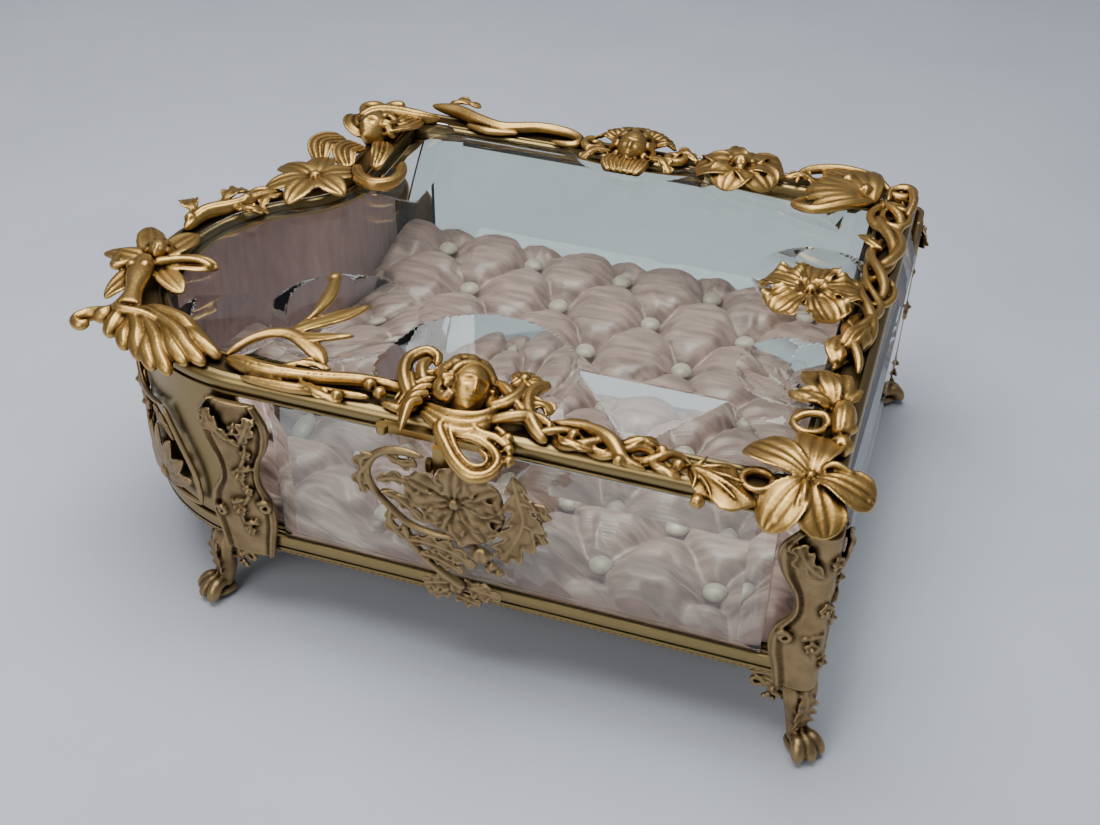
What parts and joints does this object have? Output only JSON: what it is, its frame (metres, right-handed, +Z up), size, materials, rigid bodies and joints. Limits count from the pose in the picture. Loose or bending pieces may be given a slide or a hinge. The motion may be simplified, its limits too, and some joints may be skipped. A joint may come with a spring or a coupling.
{
  "type": "jewelry box",
  "caption": "Footed jewelry box with bevelled glass sides, a hinged glass lid under cast flower, vine and mask mounts, a curved brass end wall and a tufted silk floor.",
  "frame": {"origin": "centre of the whole box in plan, at the level the feet stand on", "axes": "+X to the right along the front, +Y from the front to the hinged back, +Z up"},
  "size_m": [0.2632, 0.2175, 0.1062],
  "materials": {
    "bevelled_glass": "clear bevelled plate glass, polished",
    "silk_satin": "pale rose silk satin, tufted",
    "wall_satin": "rose satin on a card backing",
    "button_silk": "pearl silk over a button mould",
    "board": "plain thin board",
    "cast_gilt_bronze": "cast, chased and gilt, with dark recesses",
    "worn_bronze": "cast bronze with worn gilding",
    "hinge_brass": "drawn brass, dull",
    "rolled_brass": "rolled brass strip, lacquered and aged"
  },
  "bodies": {
    "box": {"back_glass": "bevelled_glass", "base_beading": "rolled_brass", "base_leaf_cluster": "worn_bronze", "base_rail_back": "rolled_brass", "base_rail_front": "rolled_brass", "base_rail_left": "rolled_brass", "base_rail_right": "rolled_brass", "clasp_keeper": "hinge_brass", "cushion": "silk_satin", "cushion_buttons": "button_silk", "floor_board": "board", "foot_back_left": "worn_bronze", "foot_back_right": "worn_bronze", "foot_front_left": "worn_bronze", "foot_front_right": "worn_bronze", "front_glass": "bevelled_glass", "front_spray": "worn_bronze", "hinge_left_body_leaf": "hinge_brass", "hinge_left_pin": "hinge_brass", "hinge_rail": "hinge_brass", "hinge_right_body_leaf": "hinge_brass", "hinge_right_pin": "hinge_brass", "left_wall": "rolled_brass", "left_wall_lining": "wall_satin", "left_wall_relief": "worn_bronze", "pilaster_back_left": "worn_bronze", "pilaster_back_right": "worn_bronze", "pilaster_front_left": "worn_bronze", "pilaster_front_right": "worn_bronze", "right_glass": "bevelled_glass"},
    "lid": {"acanthus_scroll_left": "cast_gilt_bronze", "branch_front_left": "cast_gilt_bronze", "clasp_bar": "hinge_brass", "clasp_tongue": "hinge_brass", "corner_flower": "cast_gilt_bronze", "flower_back": "cast_gilt_bronze", "flower_left_rear": "cast_gilt_bronze", "hinge_left_lid_leaf": "hinge_brass", "hinge_right_lid_leaf": "hinge_brass", "iris_right": "cast_gilt_bronze", "lid_bezel": "rolled_brass", "lid_glass": "bevelled_glass", "lid_rail_back": "rolled_brass", "lid_rail_front": "rolled_brass", "lid_rail_left": "rolled_brass", "lid_rail_right": "rolled_brass", "mantled_mask_back_left": "cast_gilt_bronze", "mascaron_back": "cast_gilt_bronze", "mask_ornament": "cast_gilt_bronze", "nymph_figure": "cast_gilt_bronze", "olive_sprig": "cast_gilt_bronze", "poppy_right": "cast_gilt_bronze", "scroll_back": "cast_gilt_bronze", "tendril": "cast_gilt_bronze", "vine_front_right": "cast_gilt_bronze", "vine_leaf_front": "cast_gilt_bronze", "vine_right": "cast_gilt_bronze", "wing_shell_back_right": "cast_gilt_bronze"}
  },
  "joints": [
    {"name": "lid_hinge", "type": "hinge", "parent": "box", "child": "lid", "pos_m": [0.00165, 0.09305, 0.09], "axis": [-1, 0, 0], "range_deg": [0, 95]}
  ]
}
